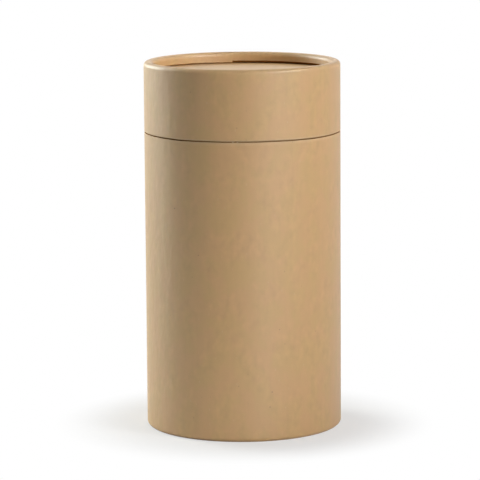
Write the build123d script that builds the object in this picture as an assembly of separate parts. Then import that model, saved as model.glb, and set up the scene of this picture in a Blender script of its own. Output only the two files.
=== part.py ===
from build123d import *
import os

# Round kraft board box: a tall base, a short lid that lifts off, and a neck between them.
# The lid and the base are cut from one wound board tube. Each has its outer end rolled inwards
# into a curl, with a flat board disc set in behind the curl. A thinner tube is glued inside the
# base, stands on the base disc and rises past the base's top edge as a neck, and the lid slides
# over it until its cut edge meets the base's.
#
# Millimetres, +Z up. The origin is on the box's axis, in the plane that the base stands on.

# Driving dimensions: the whole box
OUTER_DIAMETER = 80.0
TOTAL_HEIGHT = 150.0
LID_HEIGHT = 28.5  # from the lid's cut edge to the top of its curl
SEAM_GAP = 0.3  # between the cut edges of the lid and the base

# Driving dimensions: the wound board tube of the lid and the base
TUBE_WALL = 1.4
CURL_BEND_RADIUS = 0.35  # inside radius of the two bends of a curl
CURL_FLAT = 0.4  # pressed flat between those bends, which the box stands on
CURL_END_GAP = 0.5  # from the raw end of a curl to the disc behind it
CUT_EDGE_RADIUS = 0.25  # the soft corner that a knife leaves on the board

# Driving dimensions: the two discs
DISC_THICKNESS = 1.8
DISC_CLEARANCE = 0.15  # glue line between a disc's edge and the tube
LID_RECESS = 4.7  # from the top of the lid's curl down to the lid disc
BASE_RECESS = 4.7  # from the foot of the base's curl up to the base disc

# Driving dimensions: the neck
NECK_WALL = 1.2
NECK_CLEARANCE = 0.2  # the neck's glue line in the base, and its sliding fit in the lid
HEADSPACE = 5.6  # between the top of the neck and the lid disc

# Radii and heights that follow from them
outer_radius = OUTER_DIAMETER / 2
tube_bore_radius = outer_radius - TUBE_WALL
curl_bend_outside = CURL_BEND_RADIUS + TUBE_WALL
curl_bore_radius = outer_radius - 2 * curl_bend_outside - CURL_FLAT
lid_edge_height = TOTAL_HEIGHT - LID_HEIGHT
base_edge_height = lid_edge_height - SEAM_GAP
base_disc_top = BASE_RECESS + DISC_THICKNESS
lid_disc_underside = TOTAL_HEIGHT - LID_RECESS - DISC_THICKNESS
neck_top = lid_disc_underside - HEADSPACE


def turned(*corners):
    """The ring or disc that a closed outline sweeps round the box's axis.

    Each corner is (radius from the axis, height, radius of that corner).
    """
    points = [(radius, height) for radius, height, _ in corners]
    roundings = [rounding for _, _, rounding in corners]
    with BuildPart() as piece:
        with BuildSketch(Plane.XZ):
            with BuildLine():
                FilletPolyline(*points, radius=roundings, close=True)
            make_face()
        revolve(axis=Axis.Z)
    return piece.part


def curled_tube(length, recess):
    """A board tube that stands on its curl, with its cut edge at the given length.

    The wall comes down, turns inwards through two right-angle bends and goes back up inside
    itself, and its raw end stops short of the disc that is set in at the recess.
    """
    curl_end = recess - CURL_END_GAP
    return turned(
        (outer_radius, length, CUT_EDGE_RADIUS),
        (outer_radius, 0, curl_bend_outside),
        (curl_bore_radius, 0, curl_bend_outside),
        (curl_bore_radius, curl_end, CUT_EDGE_RADIUS),
        (curl_bore_radius + TUBE_WALL, curl_end, 0),
        (curl_bore_radius + TUBE_WALL, TUBE_WALL, CURL_BEND_RADIUS),
        (tube_bore_radius, TUBE_WALL, CURL_BEND_RADIUS),
        (tube_bore_radius, length, CUT_EDGE_RADIUS),
    )


def board_disc(underside):
    """A die-cut disc that fills the tube's bore, with its underside at the given height."""
    radius = tube_bore_radius - DISC_CLEARANCE
    with BuildPart() as disc:
        with Locations((0, 0, underside)):
            Cylinder(radius, DISC_THICKNESS, align=(Align.CENTER, Align.CENTER, Align.MIN))
        fillet(disc.edges().filter_by(GeomType.CIRCLE), CUT_EDGE_RADIUS)
    return disc.part


def neck():
    """The thin tube that stands on the base disc and reaches up into the lid."""
    outside = tube_bore_radius - NECK_CLEARANCE
    bore = outside - NECK_WALL
    return turned(
        (outside, base_disc_top, 0),
        (outside, neck_top, CUT_EDGE_RADIUS),
        (bore, neck_top, CUT_EDGE_RADIUS),
        (bore, base_disc_top, 0),
    )


# The lid's tube is the base's kind of tube turned over, so that its curl is at the top.
turned_over = Pos(0, 0, TOTAL_HEIGHT) * Rot(180, 0, 0)

pieces = {
    "base_tube": curled_tube(base_edge_height, BASE_RECESS),
    "base_disc": board_disc(BASE_RECESS),
    "neck_tube": neck(),
    "lid_tube": turned_over * curled_tube(LID_HEIGHT, LID_RECESS),
    "lid_disc": board_disc(lid_disc_underside),
}

os.makedirs("parts", exist_ok=True)
for name, piece in pieces.items():
    export_step(piece, f"parts/{name}.step")
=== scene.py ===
"""Looks of a tall round kraft board box with a lift-off lid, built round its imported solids.

Lengths are in metres and angles in radians, in the frame of the solids: +Z runs up the box's axis,
the box stands on the plane at height 0, and the camera stands on the side of -Y.
"""

import logging
from dataclasses import dataclass
from enum import Enum
from math import cos, pi, radians, sin, tau

import bpy
import numpy as np
from mathutils import Matrix, Vector


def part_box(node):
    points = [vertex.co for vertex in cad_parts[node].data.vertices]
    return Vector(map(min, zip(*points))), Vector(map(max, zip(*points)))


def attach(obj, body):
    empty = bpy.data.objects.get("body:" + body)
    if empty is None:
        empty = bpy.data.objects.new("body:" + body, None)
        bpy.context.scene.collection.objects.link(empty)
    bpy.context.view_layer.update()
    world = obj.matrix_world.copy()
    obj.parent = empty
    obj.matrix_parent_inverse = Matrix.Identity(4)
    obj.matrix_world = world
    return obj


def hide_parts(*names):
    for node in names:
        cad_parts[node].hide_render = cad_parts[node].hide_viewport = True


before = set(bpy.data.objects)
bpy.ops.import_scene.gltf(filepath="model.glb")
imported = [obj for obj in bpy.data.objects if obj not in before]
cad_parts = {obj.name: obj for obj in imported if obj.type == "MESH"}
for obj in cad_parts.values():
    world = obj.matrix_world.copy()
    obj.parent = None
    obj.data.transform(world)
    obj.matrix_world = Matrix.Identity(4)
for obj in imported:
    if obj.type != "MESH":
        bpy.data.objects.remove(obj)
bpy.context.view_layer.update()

LOG = logging.getLogger("round_box")
SHEET_UV = "sheet"
# Name of the point attribute for lighter paper along the cut edges: partly rubbed fibres, partly a painted
# highlight.
SCUFF_AND_HIGHLIGHT = "scuff_and_highlight"
MM = 0.001
FRONT = -pi / 2
LAP_RISER = 0.06 * MM
LAP_PLACES = (0.5, 1.5, 4.0)
NOISE_MIDDLE = 0.5

Colour = tuple[float, float, float]
Socket = bpy.types.NodeSocket

COOL_WHITE: Colour = (0.95, 1.0, 0.94)


class Skin(Enum):
    """What a strip of board shows. The value is the strip's place among its piece's materials."""

    PAPER = 0
    BOARD = 1
    CUT = 2


# Surfaces


@dataclass(frozen=True)
class Corner:
    """A right-angle corner of a section, with the straight side that leads to it.

    Attributes:
        radius: Distance of the corner from the box's axis.
        height: Height of the corner.
        rounding: Radius that the corner is rounded to.
        skin: What the side and the rounded corner show.
        spans: Pieces that the side is divided into.
        bends: Pieces that the rounded corner is divided into.
    """

    radius: float
    height: float
    rounding: float
    skin: Skin
    spans: int
    bends: int


@dataclass(frozen=True)
class Section:
    """An outline in the half plane through the axis, walked with the board on the left.

    Attributes:
        radius: Distance of each point from the axis.
        height: Height of each point.
        out_radius: Part of the outward unit normal that points away from the axis.
        out_height: Part of the outward unit normal that points up.
        along: Length walked to each point, and after the last of them back to the first.
        skin: Skin of the stretch that starts at each point.
    """

    radius: np.ndarray
    height: np.ndarray
    out_radius: np.ndarray
    out_height: np.ndarray
    along: np.ndarray
    skin: np.ndarray

    @classmethod
    def rounded(cls, corners: list[Corner]) -> "Section":
        """Joins corners by straight sides and rounds each corner.

        A side's points lie closer together towards its ends, by half a cosine wave. A corner is a
        quarter circle: its centre, less the way out times the cosine of the turn, plus the way in
        times its sine, both times the rounding.

        Args:
            corners: Corners in the order of the walk, with right angles between their sides.

        Returns:
            The closed section.
        """
        places = np.array([(c.radius, c.height) for c in corners])
        ways = np.roll(places, -1, axis=0) - places
        ways /= np.linalg.norm(ways, axis=1, keepdims=True)
        points, tangents, skins = [], [], []
        for i, corner in enumerate(corners):
            way_in, way_out = ways[i - 1], ways[i]
            side_start = places[i - 1] + way_in * corners[i - 1].rounding
            side_end = places[i] - way_in * corner.rounding
            share = (1 - np.cos(pi * np.arange(corner.spans) / corner.spans)) / 2
            points.append(side_start + share[:, None] * (side_end - side_start))
            tangents.append(np.tile(way_in, (corner.spans, 1)))
            turn = pi / 2 * np.arange(corner.bends)[:, None] / max(corner.bends, 1)
            centre = side_end + way_out * corner.rounding
            points.append(centre + corner.rounding * (way_in * np.sin(turn) - way_out * np.cos(turn)))
            tangents.append(way_in * np.cos(turn) + way_out * np.sin(turn))
            skins.append(np.full(corner.spans + corner.bends, corner.skin.value))
        walked = np.concatenate(points)
        tangent = np.concatenate(tangents)
        steps = np.linalg.norm(np.roll(walked, -1, axis=0) - walked, axis=1)
        return cls(
            radius=walked[:, 0],
            height=walked[:, 1],
            out_radius=tangent[:, 1],
            out_height=-tangent[:, 0],
            along=np.concatenate([[0.0], np.cumsum(steps)]),
            skin=np.concatenate(skins),
        )

    def turned_over(self, total: float) -> "Section":
        """Turns the section upside down in a given height, keeping the board on the left.

        Args:
            total: Height at which height 0 ends up.

        Returns:
            The section with each height taken from the total, walked the other way.
        """
        last = self.along[-2]
        return Section(
            radius=self.radius[::-1],
            height=total - self.height[::-1],
            out_radius=self.out_radius[::-1],
            out_height=-self.out_height[::-1],
            along=np.append(self.along[-2::-1], last - self.along[-1]),
            skin=np.roll(self.skin[::-1], -1),
        )


@dataclass(frozen=True)
class Sheet:
    """A mesh in the making: points, faces and what each of them carries.

    Attributes:
        points: Points, three numbers each.
        faces: Point numbers of each face, anticlockwise seen from outside.
        uv: Place on the flat sheet of each corner of each face, in metres.
        skins: Material number of each face.
        scuff_and_highlight: How much lighter edge paper each point takes, partly rubbed and partly painted
            highlight, from 0 to 1.
    """

    points: np.ndarray
    faces: list[list[int]]
    uv: np.ndarray
    skins: np.ndarray
    scuff_and_highlight: np.ndarray

    def piece(self, name: str, materials: list[bpy.types.Material]) -> bpy.types.Object:
        """Makes the Blender object.

        Args:
            name: Name of the piece.
            materials: Materials in the order of the skins.

        Returns:
            The object, at the origin, with its place in its mesh.
        """
        mesh = bpy.data.meshes.new(name)
        mesh.from_pydata(self.points, [], self.faces)
        for material in materials:
            mesh.materials.append(material)
        mesh.polygons.foreach_set("material_index", self.skins.astype(np.int32))
        mesh.polygons.foreach_set("use_smooth", np.ones(len(self.faces), bool))
        layer = mesh.uv_layers.new(name=SHEET_UV)
        layer.uv.foreach_set("vector", self.uv.astype(np.float32).ravel())
        scuff_and_highlight = mesh.attributes.new(SCUFF_AND_HIGHLIGHT, "FLOAT", "POINT")
        scuff_and_highlight.data.foreach_set("value", self.scuff_and_highlight.astype(np.float32))
        mesh.validate()
        mesh.update()
        piece = bpy.data.objects.new(name, mesh)
        bpy.context.scene.collection.objects.link(piece)
        return piece


def ring_points(turns: np.ndarray, radius: np.ndarray, height: np.ndarray) -> np.ndarray:
    """Points round the axis, one for each turn and place, at the radius and height given for it."""
    across, back = np.cos(turns)[:, None], np.sin(turns)[:, None]
    return np.stack([radius * across, radius * back, height], axis=-1)


def ring_faces(i: np.ndarray, j: np.ndarray, rounds: int, places: int) -> np.ndarray:
    """Joins neighbouring turns and places by four-sided faces, closing both on themselves.

    Args:
        i: Turn at which each face starts.
        j: Place at which each face starts.
        rounds: Number of turns.
        places: Number of places in each turn.

    Returns:
        Four point numbers for each face.
    """
    here, after = i * places, (i + 1) % rounds * places
    beyond = (j + 1) % places
    return np.stack([here + j, after + j, after + beyond, here + beyond], axis=-1)


def turned_sheet(
    turns: np.ndarray,
    radius: np.ndarray,
    height: np.ndarray,
    section: Section,
    girth: float,
    scuff_and_highlight: np.ndarray,
) -> Sheet:
    """Carries a closed section round the axis.

    Point (i, j) lies at radius (i, j) from the axis, in the direction of turn i, at height (i, j).

    Args:
        turns: Directions about the axis, rising, over less than a whole turn.
        radius: Radius for each turn and point of the section.
        height: Height for each turn and point of the section.
        section: The section, which gives the length walked and the skins.
        girth: Radius at which the sheet's width is measured.
        scuff_and_highlight: Share of lighter edge paper, rubbed and painted highlight, for each turn and
            point of the section.

    Returns:
        The closed ring.
    """
    rounds, places = radius.shape
    i, j = np.meshgrid(np.arange(rounds), np.arange(places), indexing="ij")
    across = np.append(turns - turns[0], tau) * girth
    left, right = across[i], across[i + 1]
    start, end = section.along[j], section.along[j + 1]
    u = np.stack([left, right, right, left], axis=-1)
    v = np.stack([start, start, end, end], axis=-1)
    return Sheet(
        points=ring_points(turns, radius, height).reshape(-1, 3),
        faces=ring_faces(i, j, rounds, places).reshape(-1, 4).tolist(),
        uv=np.stack([u, v], axis=-1).reshape(-1, 2),
        skins=np.tile(section.skin, rounds),
        scuff_and_highlight=scuff_and_highlight.ravel(),
    )


def smooth_step(value: np.ndarray, low: float, high: float) -> np.ndarray:
    """Rises from 0 at low to 1 at high along the cubic 3t^2 - 2t^3."""
    t = np.clip((value - low) / (high - low), 0, 1)
    return t * t * (3 - 2 * t)


def hump(value: np.ndarray, width: float) -> np.ndarray:
    """A bell curve about 0, of height 1, whose half width at 1/e is the given width."""
    return np.exp(-((value / width) ** 2))


@dataclass(frozen=True)
class Wander:
    """An uneven line round a ring.

    Attributes:
        reach: Its largest distance from its mean. A negative reach turns the line over.
        slowest: Smallest number of waves round the ring.
        fastest: Largest number of waves.
        least: Smallest size that is drawn for a wave, where the largest is 1.
    """

    reach: float
    slowest: int
    fastest: int
    least: float = 0.4

    def line(self, turns: np.ndarray, seed: int) -> np.ndarray:
        """Draws the line.

        It is a sum of cosines with a whole number of waves round the ring, each smaller in proportion
        to the root of its number, at seeded sizes and phases, scaled to touch the reach.

        Args:
            turns: Directions about the axis.
            seed: Seed of the sizes and phases.

        Returns:
            One value for each direction.
        """
        draw = np.random.default_rng(seed)
        waves = np.arange(self.slowest, self.fastest + 1)
        sizes = draw.uniform(self.least, 1.0, waves.size) / np.sqrt(waves)
        phases = draw.uniform(0, tau, waves.size)
        line = (sizes * np.cos(turns[:, None] * waves + phases)).sum(axis=1)
        return self.reach * (line / np.abs(line).max())


def lapped_turns(lap_turn: float, outer: float, rounds: int) -> np.ndarray:
    """Directions round a wound tube, close together on both sides of the sheet's step.

    Args:
        lap_turn: Direction of the step.
        outer: Outer radius.
        rounds: Number of directions that are evenly spaced.

    Returns:
        Rising directions from the step's foot to its head, a whole turn on.
    """
    head = lap_turn + tau - LAP_RISER / outer
    beside = LAP_RISER * np.array(LAP_PLACES) / outer
    even = np.linspace(lap_turn, head, rounds)
    return np.sort(np.concatenate([even, lap_turn + beside, head - beside]))


# Finishes


@dataclass(frozen=True)
class Noise:
    """A cloudy noise on the flat sheet, from 0 to 1 about its middle.

    Attributes:
        across: Clouds to the metre round the box.
        along: Clouds to the metre along the section.
        detail: Octaves of finer noise.
        roughness: Weight of each finer octave.
        swing: How much it changes a colour's brightness as it goes from 0 to 1.
    """

    across: float
    along: float
    detail: float
    roughness: float = 0.55
    swing: float = 0.0


@dataclass(frozen=True)
class Flecks:
    """Flecks scattered over the flat sheet.

    Attributes:
        across: Cells of the scatter to the metre round the box.
        along: Cells to the metre along the section.
        chance: Share of the cells that have a fleck.
        size: Largest radius of a fleck, in cells.
        share: How much of a fleck's colour shows.
        dents: Dents in the outlines, to the cell.
        dent_depth: Depth of the dents, in sizes.
        edge: Width of the soft edge, in sizes.
    """

    across: float
    along: float
    chance: float
    size: float
    share: float
    dents: float = 9.0
    dent_depth: float = 1.6
    edge: float = 0.3


class Tree:
    """Builds the nodes of a material or of the world."""

    def __init__(self, tree: bpy.types.NodeTree) -> None:
        """Takes the nodes of a material or of the world to build on."""
        self.tree = tree

    def node(self, kind: str, **settings: object) -> bpy.types.Node:
        """Adds a node.

        Args:
            kind: Blender's name of the node type.
            settings: Properties to set on it.

        Returns:
            The node.
        """
        made = self.tree.nodes.new(kind)
        for key, value in settings.items():
            setattr(made, key, value)
        return made

    def feed(self, target: Socket, value: "Socket | float | Colour") -> None:
        """Links a socket into another, or sets a constant on it."""
        if isinstance(value, bpy.types.NodeSocket):
            self.tree.links.new(value, target)
        else:
            target.default_value = value

    def maths(self, operation: str, *values: "Socket | float") -> Socket:
        """One step of arithmetic."""
        made = self.node("ShaderNodeMath", operation=operation)
        for target, value in zip(made.inputs, values):
            self.feed(target, value)
        return made.outputs["Value"]

    def ramp(self, value: Socket, low: float, high: float, start: float, end: float) -> Socket:
        """Maps a stretch of values to another, smoothly, and holds the ends.

        Args:
            value: What is mapped.
            low: Value that gives the start.
            high: Value that gives the end.
            start: Result at and before low.
            end: Result at and past high.

        Returns:
            The mapped value.
        """
        made = self.node("ShaderNodeMapRange", interpolation_type="SMOOTHSTEP")
        for key, number in (("From Min", low), ("From Max", high), ("To Min", start), ("To Max", end)):
            made.inputs[key].default_value = number
        self.feed(made.inputs["Value"], value)
        return made.outputs["Result"]

    def object_place(self) -> Socket:
        """Place in the object's own frame, in metres."""
        return self.node("ShaderNodeTexCoord").outputs["Object"]

    def coordinate(self, place: Socket, axis: str) -> Socket:
        """One of a place's three numbers: X, Y or Z."""
        made = self.node("ShaderNodeSeparateXYZ")
        self.feed(made.inputs["Vector"], place)
        return made.outputs[axis]

    def seen_rays(self) -> Socket:
        """Tells the rays that show a background from those that light the box.

        Returns:
            1 for camera, glossy and transmission rays, and 0 for the rest.
        """
        rays = self.node("ShaderNodeLightPath").outputs
        seen = rays["Is Camera Ray"]
        for kind in ("Is Glossy Ray", "Is Transmission Ray"):
            seen = self.maths("MAXIMUM", seen, rays[kind])
        return seen

    def show(self, output: str, share: Socket, first: Socket, second: Socket) -> None:
        """Blends two shaders and shows the blend.

        Args:
            output: Blender's name of the output's node type.
            share: Share of the second shader.
            first: First shader.
            second: Second shader.
        """
        blend = self.node("ShaderNodeMixShader")
        for target, value in zip(blend.inputs, (share, first, second)):
            self.feed(target, value)
        self.feed(self.node(output).inputs["Surface"], blend.outputs["Shader"])


class Nodes(Tree):
    """Builds one material of the box."""

    def __init__(self, name: str) -> None:
        """Starts a material with its shader and output.

        Args:
            name: Name of the material.
        """
        self.material = bpy.data.materials.new(name)
        self.material.use_nodes = True
        super().__init__(self.material.node_tree)
        self.shader = self.tree.nodes["Principled BSDF"]

    def sheet_place(self, across: float, along: float) -> Socket:
        """Place on the flat sheet, stretched.

        Args:
            across: Factor on the way round the box.
            along: Factor on the way along the section.

        Returns:
            The stretched place.
        """
        place = self.node("ShaderNodeUVMap", uv_map=SHEET_UV)
        mapping = self.node("ShaderNodeMapping")
        mapping.inputs["Scale"].default_value = (across, along, 1.0)
        self.feed(mapping.inputs["Vector"], place.outputs["UV"])
        return mapping.outputs["Vector"]

    def noise(self, noise: Noise) -> Socket:
        """Lays a noise on the flat sheet."""
        made = self.node("ShaderNodeTexNoise", noise_dimensions="2D")
        made.inputs["Scale"].default_value = 1.0
        made.inputs["Detail"].default_value = noise.detail
        made.inputs["Roughness"].default_value = noise.roughness
        self.feed(made.inputs["Vector"], self.sheet_place(noise.across, noise.along))
        return made.outputs["Fac"]

    def mix(self, share: "Socket | float", first: "Socket | Colour", second: "Socket | Colour") -> Socket:
        """Blends two colours.

        Args:
            share: Share of the second colour.
            first: First colour.
            second: Second colour.

        Returns:
            The blend.
        """
        made = self.node("ShaderNodeMix", data_type="RGBA")
        factor, first_socket, second_socket = made.inputs[0], made.inputs[6], made.inputs[7]
        self.feed(factor, share)
        for target, value in ((first_socket, first), (second_socket, second)):
            self.feed(target, value if isinstance(value, bpy.types.NodeSocket) else (*value, 1.0))
        return made.outputs[2]

    def shade(self, colour: Socket, factor: Socket) -> Socket:
        """Makes a colour lighter or darker by a factor."""
        made = self.node("ShaderNodeVectorMath", operation="SCALE")
        self.feed(made.inputs[0], colour)
        self.feed(made.inputs["Scale"], factor)
        return made.outputs["Vector"]

    def about_one(self, noise: Socket, swing: float) -> Socket:
        """Turns noise about its middle into a factor about 1, which rises by the swing from 0 to 1."""
        return self.maths("MULTIPLY_ADD", noise, swing, 1.0 - swing / 2)

    def ragged(self, place: Socket, waves: float, reach: float) -> Socket:
        """Shifts a place to and fro, so that a pattern there gets uneven outlines.

        Args:
            place: The place.
            waves: Shifts to the unit.
            reach: Largest shift.

        Returns:
            The shifted place.
        """
        shift = self.node("ShaderNodeTexNoise", noise_dimensions="2D")
        shift.inputs["Scale"].default_value = waves
        self.feed(shift.inputs["Vector"], place)
        moved = self.node("ShaderNodeVectorMath", operation="MULTIPLY_ADD")
        self.feed(moved.inputs[0], shift.outputs["Color"])
        moved.inputs[1].default_value = (reach, reach, 0.0)
        self.feed(moved.inputs[2], place)
        return moved.outputs["Vector"]

    def flecks(self, flecks: Flecks) -> Socket:
        """Scatters flecks: in a share of the cells, a ragged spot round the cell's own point.

        Args:
            flecks: The flecks.

        Returns:
            How much of their colour shows, which is 0 outside them.
        """
        cells = self.node("ShaderNodeTexVoronoi", voronoi_dimensions="2D")
        cells.inputs["Scale"].default_value = 1.0
        place = self.sheet_place(flecks.across, flecks.along)
        self.feed(cells.inputs["Vector"], self.ragged(place, flecks.dents, flecks.dent_depth * flecks.size))
        draw = self.node("ShaderNodeSeparateColor")
        self.feed(draw.inputs["Color"], cells.outputs["Color"])
        radius = self.ramp(draw.outputs["Red"], 1.0 - flecks.chance, 1.0, 0.0, flecks.size)
        inside = self.maths("SUBTRACT", radius, cells.outputs["Distance"])
        return self.ramp(inside, 0.0, flecks.edge * flecks.size, 0.0, flecks.share)

    def bump(self, height: Socket, depth: float, strength: float) -> None:
        """Roughens the shader's normal.

        Args:
            height: Height from 0 to 1.
            depth: Height of 1 in metres.
            strength: Share of the bump that shows.
        """
        made = self.node("ShaderNodeBump")
        made.inputs["Strength"].default_value = strength
        made.inputs["Distance"].default_value = depth
        self.feed(made.inputs["Height"], height)
        self.feed(self.shader.inputs["Normal"], made.outputs["Normal"])


@dataclass(frozen=True)
class Mark:
    """A small dark speck on the outside of the box.

    Attributes:
        turn: Direction from the front, in degrees, positive to the right.
        height: Height above the floor.
        radius: Radius of the speck.
        outer: Radius of the box.
        core: Share of the radius within which it is darkest.
        share: How much of the dark colour shows there.
    """

    turn: float
    height: float
    radius: float
    outer: float = 40.0 * MM
    core: float = 0.5
    share: float = 0.6

    def spot(self, nodes: Nodes) -> Socket:
        """Draws the speck round its middle.

        Args:
            nodes: The material's nodes.

        Returns:
            How much of the dark colour shows, which is 0 outside the speck.
        """
        turn = FRONT + radians(self.turn)
        gap = nodes.node("ShaderNodeVectorMath", operation="DISTANCE")
        nodes.feed(gap.inputs[0], nodes.object_place())
        gap.inputs[1].default_value = (self.outer * cos(turn), self.outer * sin(turn), self.height)
        return nodes.ramp(gap.outputs["Value"], self.core * self.radius, self.radius, self.share, 0.0)


@dataclass(frozen=True)
class FootShade:
    """Painted shade on the foot of the box, where it meets the floor: darkest at the floor and deeper on
    one side.

    Attributes:
        height: Height from the floor up to which it reaches.
        deep: Its share where it is deepest, right at the floor.
        thin: Its share where it is thinnest.
        deep_x: Place across the box from which it thins out.
        thin_x: Place across the box where it is thinnest.
        dulling: How much rougher the paper is where the painted shade is whole.
    """

    height: float
    deep: float = 0.95
    thin: float = 0.5
    deep_x: float = -20.0 * MM
    thin_x: float = -2.0 * MM
    dulling: float = 0.5

    def share(self, nodes: Nodes) -> Socket:
        """How much painted shade the paper takes: most at the floor, thinning upwards and across the box.

        Args:
            nodes: The material's nodes.

        Returns:
            The share of painted shade, from 0 to 1.
        """
        place = nodes.object_place()
        near_floor = nodes.ramp(nodes.coordinate(place, "Z"), 0.0, self.height, 1.0, 0.0)
        across = nodes.ramp(nodes.coordinate(place, "X"), self.deep_x, self.thin_x, self.deep, self.thin)
        return nodes.maths("MULTIPLY", near_floor, across)


@dataclass(frozen=True)
class Grain:
    """Upright grain that stands out of the paper, deeper on one side of the box.

    Attributes:
        depth: Its height where it is deepest.
        even: Share of that height that it has elsewhere.
        deep_x: Place across the box up to which it is deepest.
        even_x: Place across the box from which it is even.
        ridges: Noise of its ridges.
        fuzz: Height of the fibres on it, as a share of its depth.
    """

    depth: float = 0.18 * MM
    even: float = 0.25
    deep_x: float = -33.0 * MM
    even_x: float = -18.0 * MM
    ridges: Noise = Noise(300, 120, 2.0)
    fuzz: float = 0.035

    def raised(self, nodes: Nodes, fibres: Socket) -> Socket:
        """Height of the paper: its ridges, which fade across the box, and a little of its fibres.

        Args:
            nodes: The material's nodes.
            fibres: Noise of the fibres.

        Returns:
            The height, as a share of the grain's depth.
        """
        across = nodes.coordinate(nodes.object_place(), "X")
        share = nodes.ramp(across, self.deep_x, self.even_x, 1.0, self.even)
        ridges = nodes.maths("SUBTRACT", nodes.noise(self.ridges), NOISE_MIDDLE)
        return nodes.maths("MULTIPLY_ADD", fibres, self.fuzz, nodes.maths("MULTIPLY", ridges, share))


@dataclass(frozen=True)
class KraftPaper:
    """Brown kraft paper: cloudy and blotched colour, upright grain, fine fibres and bark flecks.

    Attributes:
        name: Name of the material.
        rosy: Colour of its redder clouds.
        olive: Colour of its greener clouds.
        pale_fibre_and_highlight: Colour of pale hairs and of fibres rubbed open, also a painted highlight
            along the cut edges.
        fleck: Colour of bark flecks and specks, and of the painted shade at the foot.
        gloss: Roughness of the calendered face.
        gloss_swing: How much the fibres change that roughness.
        specular: Strength of its reflection.
        marks: Single specks.
        foot_shade: Painted shade on its foot, if it has any.
        grain: Its raised grain.
        tints: Noise of its two colours.
        tint_span: Values of that noise between which one colour turns to the other.
        clumps: Noise that gathers the blotches.
        clump_span: Values of that noise between which the blotches come up.
        calm: Share of the blotches that is left in the quiet places.
        blotches: Noise of its blotches.
        streaks: Noise of its upright streaks.
        fibres: Noise of its fibres.
        hairs: Pale hairs on it.
        bark: Dark flecks in it.
        rub_and_highlight_swing: How much the fibres change the colour of the lighter edge paper.
        rub_dulling: How much rougher rubbed paper is.
    """

    name: str
    rosy: Colour
    olive: Colour
    pale_fibre_and_highlight: Colour = (0.66, 0.47, 0.29)
    fleck: Colour = (0.17, 0.09, 0.04)
    gloss: float = 0.47
    gloss_swing: float = 0.16
    specular: float = 0.9
    marks: tuple[Mark, ...] = ()
    foot_shade: FootShade | None = None
    grain: Grain = Grain()
    tints: Noise = Noise(110, 85, 3.0)
    tint_span: tuple[float, float] = (0.35, 0.65)
    clumps: Noise = Noise(110, 75, 1.0)
    clump_span: tuple[float, float] = (0.38, 0.62)
    calm: float = 0.25
    blotches: Noise = Noise(320, 225, 1.0, swing=0.20)
    streaks: Noise = Noise(620, 40, 2.0, swing=0.04)
    fibres: Noise = Noise(3400, 1300, 4.0, 0.65, swing=0.10)
    hairs: Flecks = Flecks(700, 160, 0.10, 0.10, 0.35)
    bark: Flecks = Flecks(260, 170, 0.06, 0.06, 0.30)
    rub_and_highlight_swing: float = 0.8
    rub_dulling: float = 0.5

    def material(self) -> bpy.types.Material:
        """Builds the paper.

        Returns:
            The material.
        """
        nodes = Nodes(self.name)
        fibres = nodes.noise(self.fibres)
        colour = self._colour(nodes, fibres)
        rough: Socket | float = self.gloss - self.gloss_swing / 2
        # Painted shade at the foot: the fleck colour is mixed in towards the floor, and the paper is
        # rougher there.
        if self.foot_shade is not None:
            foot_shade_share = self.foot_shade.share(nodes)
            colour = nodes.mix(foot_shade_share, colour, self.fleck)
            rough = nodes.maths("MULTIPLY_ADD", foot_shade_share, self.foot_shade.dulling, rough)
        # Lighter paper along the cut edges: partly rubbed fibres, partly a painted highlight.
        rubbed_and_highlit = nodes.node("ShaderNodeAttribute", attribute_name=SCUFF_AND_HIGHLIGHT).outputs["Fac"]
        rub_and_highlight_share = nodes.maths("MULTIPLY", rubbed_and_highlit, nodes.about_one(fibres, self.rub_and_highlight_swing))
        colour = nodes.mix(rub_and_highlight_share, colour, self.pale_fibre_and_highlight)
        rough = nodes.maths("MULTIPLY_ADD", rubbed_and_highlit, self.rub_dulling, rough)
        rough = nodes.maths("MULTIPLY_ADD", fibres, self.gloss_swing, rough)
        nodes.feed(nodes.shader.inputs["Base Color"], colour)
        nodes.feed(nodes.shader.inputs["Roughness"], rough)
        nodes.shader.inputs["Specular IOR Level"].default_value = self.specular
        nodes.bump(self.grain.raised(nodes, fibres), self.grain.depth, 1.0)
        return nodes.material

    def _colour(self, nodes: Nodes, fibres: Socket) -> Socket:
        """Colour of clean paper: two tints in clouds, blotched and streaked, with flecks and specks.

        Args:
            nodes: The material's nodes.
            fibres: Noise of the fibres.

        Returns:
            The colour.
        """
        tints = nodes.ramp(nodes.noise(self.tints), *self.tint_span, 0.0, 1.0)
        clumps = nodes.ramp(nodes.noise(self.clumps), *self.clump_span, self.calm, 1.0)
        blotches = nodes.maths("SUBTRACT", nodes.noise(self.blotches), NOISE_MIDDLE)
        patches = nodes.maths("MULTIPLY_ADD", blotches, clumps, NOISE_MIDDLE)
        swings = (
            (patches, self.blotches.swing),
            (nodes.noise(self.streaks), self.streaks.swing),
            (fibres, self.fibres.swing),
        )
        colour = nodes.mix(tints, self.rosy, self.olive)
        for noise, swing in swings:
            colour = nodes.shade(colour, nodes.about_one(noise, swing))
        colour = nodes.mix(nodes.flecks(self.hairs), colour, self.pale_fibre_and_highlight)
        colour = nodes.mix(nodes.flecks(self.bark), colour, self.fleck)
        for mark in self.marks:
            colour = nodes.mix(mark.spot(nodes), colour, self.fleck)
        return colour


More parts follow.
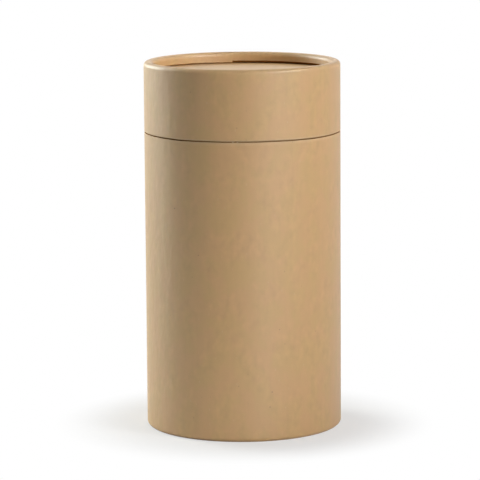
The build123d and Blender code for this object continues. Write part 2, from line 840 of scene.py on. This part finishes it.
@dataclass(frozen=True)
class CutBoard:
    """The raw cut of wound board: thin layers seen end on, darker and redder than the paper, partly its own
    colour and partly painted shade for the seam's gap.

    Attributes:
        name: Name of the material.
        pale: Colour of a layer's fibres, darkened partly as painted shade.
        dark: Colour of the glue between layers, darkened partly as painted shade.
        layer: Thickness of a layer.
        fray: Noise of its torn fibres.
        shift: How far the fray shifts the layers, in radians of their wave.
        line_span: Values of that wave between which glue turns to fibres.
        matt: Roughness.
        matt_swing: How much the fray adds to it.
        relief: Height of the layers and the fray.
        relief_share: Share of that height that shows.
    """

    name: str
    pale: Colour = (0.50, 0.235, 0.07)
    dark: Colour = (0.30, 0.12, 0.03)
    layer: float = 0.23 * MM
    fray: Noise = Noise(900, 2500, 3.0, 0.6, swing=0.4)
    shift: float = 5.0
    line_span: tuple[float, float] = (0.1, 0.7)
    matt: float = 0.8
    matt_swing: float = 0.1
    relief: float = 0.05 * MM
    relief_share: float = 0.6

    def material(self) -> bpy.types.Material:
        """Builds the cut.

        Returns:
            The material.
        """
        nodes = Nodes(self.name)
        fray = nodes.noise(self.fray)
        along = nodes.coordinate(nodes.sheet_place(1.0, 1.0), "Y")
        shift = nodes.maths("MULTIPLY", fray, self.shift)
        layers = nodes.maths("MULTIPLY_ADD", along, tau / self.layer, shift)
        lines = nodes.maths("MULTIPLY_ADD", nodes.maths("SINE", layers), 0.5, 0.5)
        # Layer colours, partly painted shade for the seam's gap.
        colour = nodes.mix(nodes.ramp(lines, *self.line_span, 0.0, 1.0), self.dark, self.pale)
        colour = nodes.shade(colour, nodes.about_one(fray, self.fray.swing))
        nodes.feed(nodes.shader.inputs["Base Color"], colour)
        rough = nodes.maths("MULTIPLY_ADD", fray, self.matt_swing, self.matt)
        nodes.feed(nodes.shader.inputs["Roughness"], rough)
        nodes.shader.inputs["Specular IOR Level"].default_value = 0.0
        nodes.bump(nodes.maths("ADD", lines, fray), self.relief, self.relief_share)
        return nodes.material


# Pieces


@dataclass(frozen=True)
class Board:
    """Sizes of the board that the box's pieces share, as the solids have them.

    Attributes:
        wall: Thickness of the lid's and the base's tube.
        neck_wall: Thickness of the neck.
        bend: Inside radius of a curl's two bends.
        flat: Pressed flat between those bends.
        end_gap: From a curl's raw end to the disc behind it, on the average.
        edge: Rounding of a cut edge.
        lap_turn: Direction in which the outer sheet's end lies, at the back.
        lap_step: Thickness of the outer sheet.
        lap_width: How far the tube takes to follow that step.
        slack: How far the tube is out of round.
    """

    wall: float = 1.4 * MM
    neck_wall: float = 1.2 * MM
    bend: float = 0.35 * MM
    flat: float = 0.4 * MM
    end_gap: float = 0.5 * MM
    edge: float = 0.25 * MM
    lap_turn: float = radians(96.3)
    lap_step: float = 0.14 * MM
    lap_width: float = 9.0 * MM
    slack: float = 0.05 * MM


@dataclass(frozen=True)
class Seat:
    """How a disc sits behind its curl.

    Attributes:
        lift: How far it is glued above its place.
        warp: How far its edge is warped, up at the sides and down at the front and the back.
    """

    lift: float = 0.0
    warp: float = 0.0

    def rise(self, turns: np.ndarray) -> np.ndarray:
        """How far the disc's edge stands above its place: the lift, plus a saddle of two waves."""
        return self.lift + self.warp * np.cos(2 * turns)


@dataclass(frozen=True)
class Burr:
    """A tuft or notch in a cut edge.

    Attributes:
        turn: Direction from the front, in degrees, positive to the right.
        width: Half its width round the edge.
        reach: How far it stands past the edge, negative for a notch.
    """

    turn: float
    width: float
    reach: float


@dataclass(frozen=True)
class Piece:
    """A piece of the box.

    Attributes:
        name: Name of the piece.
        node: The solid that it stands for.
        body: The body that it moves with.
        seed: Seed of its unevenness.
    """

    name: str
    node: str
    body: str
    seed: int


@dataclass(frozen=True)
class CutEdge:
    """How the knife left a tube's cut edge, and how much lighter the paper along it is: partly rubbed
    fibres, partly a painted highlight.

    Attributes:
        tufts: Fine tufts along the edge.
        trim: How far the knife leaves it short.
        reach: Distance from the edge within which the paper follows its line.
        rubbed_and_highlit: How much lighter the paper is at the edge, partly rubbed and partly painted
            highlight, from 0 to 1.
        rub_and_highlight_start: Distance from the edge at which the lighter paper starts.
        rub_and_highlight_full: Distance from the edge at which it is full.
    """

    tufts: Wander
    trim: float
    reach: float
    rubbed_and_highlit: float
    rub_and_highlight_start: float
    rub_and_highlight_full: float

    def line(self, turns: np.ndarray, seed: int) -> np.ndarray:
        """How far the edge stands past its place in each direction."""
        return self.tufts.line(turns, seed) - self.trim

    def follow(self, from_edge: np.ndarray) -> np.ndarray:
        """Share of the edge's line that the paper follows, by its distance from the edge."""
        return 1 - smooth_step(from_edge, 0.0, self.reach)

    def scuff_and_highlight(self, from_edge: np.ndarray) -> np.ndarray:
        """How much lighter edge paper, rubbed and painted highlight, the paper takes by its distance from
        the edge.
        """
        return self.rubbed_and_highlit * (1 - smooth_step(from_edge, self.rub_and_highlight_full, self.rub_and_highlight_start))


@dataclass(frozen=True)
class CurledTube(Piece):
    """A wound board tube whose outer end is rolled inwards into a curl.

    Its sheet is wound not quite square, so that the curl's raw end runs slowly away from the disc and
    comes back in one step where the sheet overlaps itself.

    Attributes:
        disc: The solid of the disc behind its curl.
        curl_up: Whether the curl is at the top.
        burrs: Tufts and notches of its cut edge.
        seat: How the disc sits behind the curl.
        board: Sizes of the board.
        rounds: Faces round the tube.
        least_spans: Faces along a wall of no length.
        span: Length of wall for each further face.
        skew: How far the raw end runs away, over the whole turn.
        end_wander: Unevenness of the raw end besides.
        pleats: Fine pleats that the curl squeezes into the paper.
        pleat_start: How far in from the outer radius they start.
        pleat_depth: How far down from the crest they reach.
        pressed: Share of the lap's step that the curling press flattens.
        slack_waves: Smallest and largest number of waves that put it out of round.
        slack_pitch: Shortest length along the tube in which those waves go round once.
        cut_edge: How its cut edge came out.
        flaw_turn: Direction about which the cut edge is finely divided, in degrees from the front.
        flaw_reach: How far it is finely divided to both sides, in degrees.
        flaw_clear: How far the coarse division stays away, in degrees.
        flaw_steps: Directions in the fine division.
    """

    disc: str
    curl_up: bool
    burrs: tuple[Burr, ...] = ()
    seat: Seat = Seat()
    board: Board = Board()
    rounds: int = 520
    least_spans: int = 16
    span: float = 8.0 * MM
    skew: float = 0.65 * MM
    end_wander: Wander = Wander(0.06 * MM, 2, 40)
    pleats: Wander = Wander(0.0175 * MM, 40, 110)
    pleat_start: float = 0.07 * MM
    pleat_depth: float = 4.2 * MM
    pressed: float = 0.8
    slack_waves: tuple[int, int] = (2, 11)
    slack_pitch: float = 70.0 * MM
    cut_edge: CutEdge = CutEdge(
        tufts=Wander(0.02 * MM, 5, 160),
        trim=0.045 * MM,
        reach=0.7 * MM,
        rubbed_and_highlit=0.5,
        rub_and_highlight_start=0.9 * MM,
        rub_and_highlight_full=0.2 * MM,
    )
    flaw_turn: float = -4.0
    flaw_reach: float = 3.2
    flaw_clear: float = 3.3
    flaw_steps: int = 60

    def build(self, skins: list[bpy.types.Material]) -> bpy.types.Object:
        """Builds the tube and seats it on its body.

        Args:
            skins: Materials in the order of the skins.

        Returns:
            The piece.
        """
        low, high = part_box(self.node)
        length = high.z - low.z
        outer = high.x
        section = self._section(length, outer)
        if self.curl_up:
            section = section.turned_over(length)
        turns = self._turns(outer)
        depth = length - section.height if self.curl_up else section.height
        radius, height, scuff_and_highlight = self._uneven(section, turns, depth, length, outer)
        sheet = turned_sheet(turns, radius, low.z + height, section, outer, scuff_and_highlight)
        piece = sheet.piece(self.name, skins)
        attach(piece, self.body)
        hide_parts(self.node)
        return piece

    def _recess(self) -> float:
        """Depth from the curl's crest to the disc behind it."""
        tube_low, tube_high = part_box(self.node)
        disc_low, disc_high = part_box(self.disc)
        return tube_high.z - disc_high.z if self.curl_up else disc_low.z - tube_low.z

    def _section(self, length: float, outer: float) -> Section:
        """The tube's section, standing on its curl.

        From the curl's raw end it goes down the curl's inner face, along the flat that the box
        stands on, up the outer wall, over the cut edge, down the bore and round the curl's inside.

        Args:
            length: Length of the tube.
            outer: Outer radius.

        Returns:
            The section.
        """
        board = self.board
        bend_out = board.bend + board.wall
        bore = outer - board.wall
        curl_bore = outer - 2 * bend_out - board.flat
        leg_out = curl_bore + board.wall
        end = self._recess() - board.end_gap
        wall_spans = self.least_spans + round(length / self.span)
        return Section.rounded([
            Corner(curl_bore, end, board.edge, Skin.CUT, 4, 4),
            Corner(curl_bore, 0, bend_out, Skin.PAPER, 6, 12),
            Corner(outer, 0, bend_out, Skin.PAPER, 2, 12),
            Corner(outer, length, board.edge, Skin.PAPER, wall_spans, 5),
            Corner(bore, length, board.edge, Skin.CUT, 4, 4),
            Corner(bore, board.wall, board.bend, Skin.BOARD, wall_spans // 2, 4),
            Corner(leg_out, board.wall, board.bend, Skin.BOARD, 2, 4),
            Corner(leg_out, end, 0, Skin.BOARD, 3, 0),
        ])

    def _turns(self, outer: float) -> np.ndarray:
        """Directions of the grid: even round the tube, close at the cut edge's flaws and at the lap.

        Args:
            outer: Outer radius.

        Returns:
            Rising directions that start at the lap.
        """
        start = self.board.lap_turn
        turns = lapped_turns(start, outer, self.rounds)
        flaw = FRONT + radians(self.flaw_turn)
        if flaw < start:
            flaw += tau
        reach = radians(self.flaw_reach)
        close = flaw + np.linspace(-reach, reach, self.flaw_steps)
        apart = turns[np.abs(turns - flaw) > radians(self.flaw_clear)]
        return np.sort(np.concatenate([apart, close]))

    def _slack(self, turns: np.ndarray, depth: np.ndarray) -> np.ndarray:
        """How far the tube is out of round: a sum of cosines round and along it, scaled to the slack.

        Args:
            turns: Directions of the grid.
            depth: Distance of each point of the section from the curl's crest, along the axis.

        Returns:
            What each turn and point of the section adds to the radius, from minus the slack to 0.
        """
        draw = np.random.default_rng(self.seed)
        slowest, fastest = self.slack_waves
        slack = np.zeros((turns.size, depth.size))
        for waves in range(slowest, fastest + 1):
            phase = draw.uniform(0, tau)
            pitch = draw.uniform(-1, 1) * tau / self.slack_pitch
            slack += np.cos(waves * turns[:, None] + pitch * depth + phase) / waves
        return self.board.slack * (slack / np.abs(slack).max() - 1) / 2

    def _edge_line(self, turns: np.ndarray, outer: float) -> np.ndarray:
        """How far the cut edge stands past its place: fine tufts, and a bell curve for each burr.

        Args:
            turns: Directions of the grid.
            outer: Outer radius.

        Returns:
            One distance for each direction.
        """
        line = self.cut_edge.line(turns, self.seed + 3)
        for burr in self.burrs:
            middle = FRONT + radians(burr.turn)
            gap = np.abs((turns - middle + pi) % tau - pi) * outer
            line = line + burr.reach * hump(gap, burr.width)
        return line

    def _uneven(
        self, section: Section, turns: np.ndarray, depth: np.ndarray, length: float, outer: float
    ) -> tuple[np.ndarray, np.ndarray, np.ndarray]:
        """Gives the section its unevenness round the tube.

        The radius loses the slack of a tube that isn't quite round. The paper, along its normal, loses
        the sheet's thickness just before the lap, by a bell curve, and the curl's pleats, which deepen
        over the crest. The raw end moves along the axis by the skew and a wander, less the rise of the
        disc behind it, and the cut edge by its line, both fading away from that end.

        Args:
            section: The tube's section.
            turns: Directions of the grid.
            depth: Distance of each point of the section from the curl's crest, along the axis.
            length: Length of the tube.
            outer: Outer radius.

        Returns:
            Radius, height and the share of lighter edge paper, rubbed and painted highlight, for each turn
            and point of the section.
        """
        board = self.board
        paper = (section.skin == Skin.PAPER.value).astype(float)
        share = (turns - turns[0]) / tau

        before_lap = hump((1 - share) * tau * outer, board.lap_width)
        bent = smooth_step(outer - section.radius, self.pleat_start, board.wall)
        curl = paper * bent * (depth < self.pleat_depth)
        pleats = self.pleats.line(turns, self.seed + 1) - self.pleats.reach
        step = board.lap_step * paper * (1 - self.pressed * curl)
        inwards = -before_lap[:, None] * step + pleats[:, None] * curl

        inner = section.radius < outer - 2 * board.wall
        raw_end = inner * smooth_step(depth, board.wall, self._recess() - board.end_gap)
        run = self.skew * (0.5 - share) + self.end_wander.line(turns, self.seed + 2)
        run = run - self.seat.rise(turns)
        edge = self.cut_edge.follow(length - depth) * ~inner
        outwards = run[:, None] * raw_end + self._edge_line(turns, outer)[:, None] * edge

        towards_edge = -1.0 if self.curl_up else 1.0
        radius = section.radius + self._slack(turns, depth) + inwards * section.out_radius
        height = section.height + inwards * section.out_height + towards_edge * outwards
        scuff_and_highlight = paper * self.cut_edge.scuff_and_highlight(length - depth)
        return radius, height, np.broadcast_to(scuff_and_highlight, radius.shape)


@dataclass(frozen=True)
class NeckTube(Piece):
    """The thin tube inside the base, over which the lid slides.

    Attributes:
        board: Sizes of the board.
        rounds: Faces round the tube.
        spans: Faces along its wall.
        lap_turn: Direction in which its sheet's end lies.
        lap_share: Thickness of its sheet, as a share of the outer tubes'.
        upper_edge: How its upper edge came out.
    """

    board: Board = Board()
    rounds: int = 420
    spans: int = 36
    lap_turn: float = radians(215)
    lap_share: float = 0.6
    upper_edge: CutEdge = CutEdge(
        tufts=Wander(-0.03 * MM, 5, 120),
        trim=0.03 * MM,
        reach=0.8 * MM,
        rubbed_and_highlit=0.35,
        rub_and_highlight_start=1.2 * MM,
        rub_and_highlight_full=0.0,
    )

    def build(self, skins: list[bpy.types.Material]) -> bpy.types.Object:
        """Builds the neck and seats it on its body.

        The section is a plain wall with a softened upper edge. Its paper loses the sheet's thickness
        just before the lap, by a bell curve, and its upper edge wanders a little.

        Args:
            skins: Materials in the order of the skins.

        Returns:
            The piece.
        """
        board = self.board
        low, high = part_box(self.node)
        outer, bore, length = high.x, high.x - board.neck_wall, high.z - low.z
        section = Section.rounded([
            Corner(outer, 0, 0, Skin.CUT, 2, 0),
            Corner(outer, length, board.edge, Skin.PAPER, self.spans, 5),
            Corner(bore, length, board.edge, Skin.CUT, 4, 5),
            Corner(bore, 0, 0, Skin.BOARD, self.spans, 0),
        ])
        turns = lapped_turns(self.lap_turn, outer, self.rounds)
        share = (turns - turns[0]) / tau
        before_lap = hump((1 - share) * tau * outer, board.lap_width)
        sheets = (section.skin != Skin.CUT.value).astype(float)
        inwards = -self.lap_share * board.lap_step * before_lap[:, None] * sheets
        from_edge = length - section.height
        tufts = self.upper_edge.line(turns, self.seed)
        radius = section.radius + inwards * section.out_radius
        height = low.z + section.height + tufts[:, None] * self.upper_edge.follow(from_edge)
        scuff_and_highlight = np.broadcast_to(self.upper_edge.scuff_and_highlight(from_edge) * sheets, radius.shape)
        piece = turned_sheet(turns, radius, height, section, outer, scuff_and_highlight).piece(self.name, skins)
        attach(piece, self.body)
        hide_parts(self.node)
        return piece


@dataclass(frozen=True)
class BoardDisc(Piece):
    """A die-cut board disc, set in behind a curl.

    Attributes:
        seat: How it sits behind the curl.
        board: Sizes of the board.
        rounds: Faces round the disc.
        rings: Faces from its middle to its edge.
        bends: Faces of each rounded edge.
        sag: How far each face is hollow in the middle.
        waves: Waves round each face, as a share of the sag.
        waves_end: Share of the radius at which the waves end.
    """

    seat: Seat = Seat()
    board: Board = Board()
    rounds: int = 240
    rings: int = 40
    bends: int = 4
    sag: float = 0.12 * MM
    waves: Wander = Wander(0.3, 2, 7)
    waves_end: float = 0.97

    def build(self, skins: list[bpy.types.Material]) -> bpy.types.Object:
        """Builds the disc and seats it on its body.

        Args:
            skins: Materials in the order of the skins.

        Returns:
            The piece.
        """
        piece = self._sheet().piece(self.name, skins)
        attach(piece, self.body)
        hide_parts(self.node)
        return piece

    def _sheet(self) -> Sheet:
        """Carries half the disc's section round the axis, with one point at the middle of each face.

        From the middle of the underside the section goes out to the edge, up a quarter circle, up the
        cut edge, in by another quarter circle and back to the middle of the top. Both faces are
        hollow by the sag times a bell of (1 - (r / edge)^2) squared and by a few waves round the disc.
        The sheet lies flat across both faces, and its place there is the point's own x and y.

        Returns:
            The closed disc.
        """
        low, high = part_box(self.node)
        edge, rounding = high.x, self.board.edge
        face_radius = (edge - rounding) * np.sqrt(np.arange(1, self.rings + 1) / self.rings)
        bend = np.linspace(0, pi / 2, self.bends + 1)[1:]
        half_radius = np.concatenate([face_radius, edge - rounding + rounding * np.sin(bend)])
        half_drop = np.concatenate([np.zeros(self.rings), rounding * (1 - np.cos(bend))])
        radius = np.concatenate([half_radius, half_radius[::-1]])
        drop = np.concatenate([half_drop, half_drop[::-1]])
        places = radius.size
        on_top = np.arange(places) >= half_radius.size
        into_board = np.where(on_top, -1, 1)

        turns = np.linspace(0, tau, self.rounds, endpoint=False)
        share = radius / edge
        hollow = self.sag * (1 - np.minimum(share, 1) ** 2) ** 2
        ripple = self.sag * (self.waves.line(turns, self.seed) - self.waves.reach)
        waves = ripple[:, None] * share**2 * (share < self.waves_end)
        warp = (self.seat.rise(turns) - self.seat.lift)[:, None] * share**2
        flat = np.where(on_top, high.z, low.z) + into_board * drop
        height = flat + into_board * (hollow - waves) + warp + self.seat.lift

        poles = np.array([[0, 0, low.z + self.sag], [0, 0, high.z - self.sag]]) + [0, 0, self.seat.lift]
        points = np.concatenate([ring_points(turns, radius, height).reshape(-1, 3), poles])
        i, j = np.meshgrid(np.arange(self.rounds), np.arange(places - 1), indexing="ij")
        quads = ring_faces(i, j, self.rounds, places).reshape(-1, 4)
        first = np.arange(self.rounds) * places
        after = np.roll(first, -1)
        pole = np.full(self.rounds, self.rounds * places)
        under = np.stack([pole, after, first], axis=-1)
        over = np.stack([first + places - 1, after + places - 1, pole + 1], axis=-1)
        corners = np.concatenate([quads.ravel(), under.ravel(), over.ravel()])
        skin = np.full(places - 1, Skin.PAPER.value)
        skin[self.rings : places - 1 - self.rings] = Skin.CUT.value
        return Sheet(
            points=points,
            faces=quads.tolist() + under.tolist() + over.tolist(),
            uv=points[corners, :2] + edge,
            skins=np.concatenate([np.tile(skin, self.rounds), np.full(2 * self.rounds, Skin.PAPER.value)]),
            scuff_and_highlight=np.zeros(len(points)),
        )


# Sub-assemblies


@dataclass(frozen=True)
class Papers:
    """The finishes of the whole box.

    Attributes:
        wrap: Paper of the lid's tube.
        marked_wrap: Paper of the base's tube, with its specks and the painted shade at its foot.
        facing: Paper of the discs.
        core: Board inside the curled tubes, darker and redder than the paper: partly the board's own
            colour, partly painted shade for the gap under the curl.
        liner: Paper of the neck.
        cut: Raw cut edges, coloured partly as painted shade.
    """

    wrap: KraftPaper
    marked_wrap: KraftPaper
    facing: KraftPaper
    core: KraftPaper
    liner: KraftPaper
    cut: CutBoard


@dataclass(frozen=True)
class Lid:
    """The lid: a short curled tube with a disc set in its top.

    Attributes:
        papers: Finishes of the box.
        seat: How its disc sits.
        tufts: Tufts and notches of its cut edge.
    """

    papers: Papers
    seat: Seat = Seat(lift=0.26 * MM, warp=0.21 * MM)
    tufts: tuple[Burr, ...] = (
        Burr(-5.4, 0.36 * MM, 0.19 * MM),
        Burr(-3.95, 0.35 * MM, -0.16 * MM),
        Burr(-2.8, 0.25 * MM, 0.19 * MM),
    )

    def build(self) -> list[bpy.types.Object]:
        """Builds the lid's pieces.

        Returns:
            The pieces.
        """
        core, cut = self.papers.core.material(), self.papers.cut.material()
        tube = CurledTube(
            "lid_shell", "lid_tube", "lid", seed=11,
            disc="lid_disc", curl_up=True, burrs=self.tufts, seat=self.seat,
        )
        disc = BoardDisc("lid_top", "lid_disc", "lid", seed=12, seat=self.seat)
        return [
            tube.build([self.papers.wrap.material(), core, cut]),
            disc.build([self.papers.facing.material(), core, cut]),
        ]


@dataclass(frozen=True)
class Base:
    """The base: a tall curled tube with a disc set in its foot and a neck glued inside it.

    Attributes:
        papers: Finishes of the box.
        tufts: Tufts and notches of its cut edge.
    """

    papers: Papers
    tufts: tuple[Burr, ...] = (
        Burr(-38.0, 9.0 * MM, -0.10 * MM),
        Burr(-5.4, 0.36 * MM, 0.19 * MM),
        Burr(-2.8, 0.25 * MM, 0.19 * MM),
        Burr(50.0, 9.0 * MM, -0.06 * MM),
    )

    def build(self) -> list[bpy.types.Object]:
        """Builds the base's pieces.

        Returns:
            The pieces.
        """
        core, cut = self.papers.core.material(), self.papers.cut.material()
        liner = self.papers.liner.material()
        tube = CurledTube(
            "base_shell", "base_tube", "base", seed=21,
            disc="base_disc", curl_up=False, burrs=self.tufts,
        )
        disc = BoardDisc("base_floor", "base_disc", "base", seed=22)
        neck = NeckTube("inner_neck", "neck_tube", "base", seed=23)
        return [
            tube.build([self.papers.marked_wrap.material(), core, cut]),
            disc.build([self.papers.facing.material(), core, cut]),
            neck.build([liner, liner, cut]),
        ]


# Studio


@dataclass(frozen=True)
class PhotoCamera:
    """The camera, fitted to the box's outline, seam and rim in the photograph.

    Attributes:
        lens_mm: Focal length.
        sensor_mm: Width of the sensor.
        distance: Distance from the box's axis, level.
        height: Height above the floor.
        tip: Angle down.
        turn: Angle to the right.
        roll: Turn about the line of sight.
    """

    lens_mm: float = 222.94
    sensor_mm: float = 36.0
    distance: float = 1.2044
    height: float = 0.26586
    tip: float = radians(8.956)
    turn: float = radians(-0.061)
    roll: float = radians(-0.397)

    def place(self) -> None:
        """Makes the camera and gives it to the scene."""
        forward = Vector((sin(self.turn) * cos(self.tip), cos(self.turn) * cos(self.tip), -sin(self.tip)))
        level = Vector((cos(self.turn), -sin(self.turn), 0))
        upright = level.cross(forward)
        right = level * cos(self.roll) + upright * sin(self.roll)
        up = upright * cos(self.roll) - level * sin(self.roll)
        camera = bpy.data.cameras.new("photo_camera")
        camera.lens = self.lens_mm
        camera.sensor_width = self.sensor_mm
        holder = bpy.data.objects.new("photo_camera", camera)
        bpy.context.scene.collection.objects.link(holder)
        turned = Matrix((right, up, -forward)).transposed().to_4x4()
        holder.matrix_world = Matrix.Translation((0, -self.distance, self.height)) @ turned
        bpy.context.scene.camera = holder


@dataclass(frozen=True)
class Softbox:
    """A soft lamp placed round the box and aimed at its axis.

    Attributes:
        name: Name of the lamp.
        bearing: Direction from the box in degrees, 0 towards the camera and positive to its right.
        rise: Angle above the level in degrees.
        distance: Distance from the point that it is aimed at.
        width: Width of its face.
        height: Height of its face.
        watts: Power.
        colour: Colour of its light.
        aim: Height of the point that it is aimed at.
        spread: Angle that its light leaves it in, in degrees.
    """

    name: str
    bearing: float
    rise: float
    distance: float
    width: float
    height: float
    watts: float
    colour: Colour = (1.0, 1.0, 1.0)
    aim: float = 0.075
    spread: float = 180.0

    def hang(self) -> None:
        """Makes the lamp."""
        bearing, rise = radians(self.bearing), radians(self.rise)
        away = Vector((sin(bearing) * cos(rise), -cos(bearing) * cos(rise), sin(rise)))
        lamp = bpy.data.lights.new(self.name, "AREA")
        lamp.shape = "RECTANGLE"
        lamp.size, lamp.size_y = self.width, self.height
        lamp.energy = self.watts
        lamp.color = self.colour
        lamp.spread = radians(self.spread)
        holder = bpy.data.objects.new(self.name, lamp)
        bpy.context.scene.collection.objects.link(holder)
        turned = away.to_track_quat("Z", "Y").to_matrix().to_4x4()
        holder.matrix_world = Matrix.Translation(Vector((0, 0, self.aim)) + away * self.distance) @ turned
        holder.visible_camera = False


@dataclass(frozen=True)
class Studio:
    """The pale floor, the white surround and the lamps.

    Attributes:
        floor_half: Half the floor's width.
        floor_colour: Colour of the floor.
        shadow_start: Distance from the box's axis from which the floor turns to plain white.
        shadow_end: Distance at which it has.
        near_lift: Share of plain white that the camera sees in the floor beside the box.
        ambient: Strength of the surround's own light.
        lamps: The lamps.
    """

    floor_half: float = 3.0
    floor_colour: Colour = (0.85, 0.85, 0.85)
    shadow_start: float = 0.042
    shadow_end: float = 0.08
    near_lift: float = 0.55
    ambient: float = 0.02
    lamps: tuple[Softbox, ...] = (
        Softbox("key_high", 57, 28, 0.8, 0.45, 0.3, 0.352, aim=0.2, spread=30.0),
        Softbox("key_low", 42, 14, 0.5, 0.3, 0.2, 0.424, aim=0.05),
        Softbox("fill_low", 22, 8, 0.6, 0.3, 0.12, 0.029, aim=0.0, spread=30.0),
        Softbox("left_strip", -122, 24, 0.8, 0.25, 0.5, 3.65, COOL_WHITE),
        Softbox("left_back", -136, 20, 0.8, 0.25, 0.4, 2.1, COOL_WHITE),
        Softbox("left_low", -106, 6, 0.8, 0.22, 0.16, 0.04, COOL_WHITE, aim=0.0, spread=40.0),
        Softbox("back_soft", 180, 35, 1.0, 0.5, 0.5, 0.87),
    )

    def build(self) -> None:
        """Lays the floor, colours the surround and hangs the lamps."""
        self._floor()
        self._surround()
        for lamp in self.lamps:
            lamp.hang()

    def _floor(self) -> None:
        """Lays a level floor at height 0, which keeps the box's shadow."""
        half = self.floor_half
        corners = [(-half, -half, 0), (half, -half, 0), (half, half, 0), (-half, half, 0)]
        mesh = bpy.data.meshes.new("studio_floor")
        mesh.from_pydata(corners, [], [(0, 1, 2, 3)])
        floor = bpy.data.objects.new("studio_floor", mesh)
        bpy.context.scene.collection.objects.link(floor)
        material = bpy.data.materials.new("studio_floor")
        material.use_nodes = True
        material.node_tree.nodes.clear()
        tree = Tree(material.node_tree)
        matt = tree.node("ShaderNodeBsdfDiffuse")
        matt.inputs["Color"].default_value = (*self.floor_colour, 1.0)
        white = tree.node("ShaderNodeEmission")
        reach = tree.node("ShaderNodeVectorMath", operation="LENGTH")
        tree.feed(reach.inputs[0], tree.object_place())
        lift = tree.ramp(reach.outputs["Value"], self.shadow_start, self.shadow_end, self.near_lift, 1.0)
        share = tree.maths("MULTIPLY", tree.seen_rays(), lift)
        tree.show("ShaderNodeOutputMaterial", share, matt.outputs["BSDF"], white.outputs["Emission"])
        mesh.materials.append(material)

    def _surround(self) -> None:
        """Makes the world white to the eye and dimmer as a light."""
        world = bpy.data.worlds.new("studio_surround")
        world.use_nodes = True
        world.node_tree.nodes.clear()
        tree = Tree(world.node_tree)
        dim, white = tree.node("ShaderNodeBackground"), tree.node("ShaderNodeBackground")
        for light, strength in ((dim, self.ambient), (white, 1.0)):
            light.inputs["Color"].default_value = (1.0, 1.0, 1.0, 1.0)
            light.inputs["Strength"].default_value = strength
        seen = tree.seen_rays()
        tree.show("ShaderNodeOutputWorld", seen, dim.outputs["Background"], white.outputs["Background"])
        bpy.context.scene.world = world


def box_papers() -> Papers:
    """The kraft papers and the raw cut of the box.

    Returns:
        The finishes.
    """
    rosy, olive = (0.584, 0.350, 0.156), (0.566, 0.356, 0.148)
    # The core's darker, redder colours are partly painted shade for the gap under the curls.
    shaded_core_rosy, shaded_core_olive = (0.45, 0.215, 0.075), (0.43, 0.22, 0.07)
    liner_rosy, liner_olive = (0.53, 0.30, 0.13), (0.51, 0.302, 0.122)
    specks = (
        Mark(16.3, 20.4 * MM, 0.32 * MM),
        Mark(15.0, 14.3 * MM, 0.28 * MM),
        Mark(20.9, 45.6 * MM, 0.24 * MM),
        Mark(-26.5, 75.6 * MM, 0.24 * MM),
        Mark(-43.1, 93.6 * MM, 0.36 * MM),
    )
    return Papers(
        wrap=KraftPaper("kraft_wrap", rosy, olive),
        # The base's paper takes painted shade along its foot.
        marked_wrap=KraftPaper("kraft_wrap_base", rosy, olive, marks=specks, foot_shade=FootShade(1.3 * MM)),
        facing=KraftPaper("kraft_facing", rosy, olive, specular=0.7),
        core=KraftPaper("kraft_core_shaded", shaded_core_rosy, shaded_core_olive, gloss=0.75, specular=0.0),
        liner=KraftPaper("kraft_liner", liner_rosy, liner_olive, gloss=0.65, specular=0.02),
        cut=CutBoard("board_cut_shaded"),
    )


def main() -> None:
    """Builds the box's two sub-assemblies, the studio and the camera."""
    logging.basicConfig(level=logging.INFO, format="%(message)s")
    bpy.context.scene.view_settings.view_transform = "Standard"
    papers = box_papers()
    for assembly in (Base(papers), Lid(papers)):
        for piece in assembly.build():
            LOG.info("%s %s: %d faces", type(assembly).__name__, piece.name, len(piece.data.polygons))
    Studio().build()
    PhotoCamera().place()


if __name__ == "__main__":
    main()
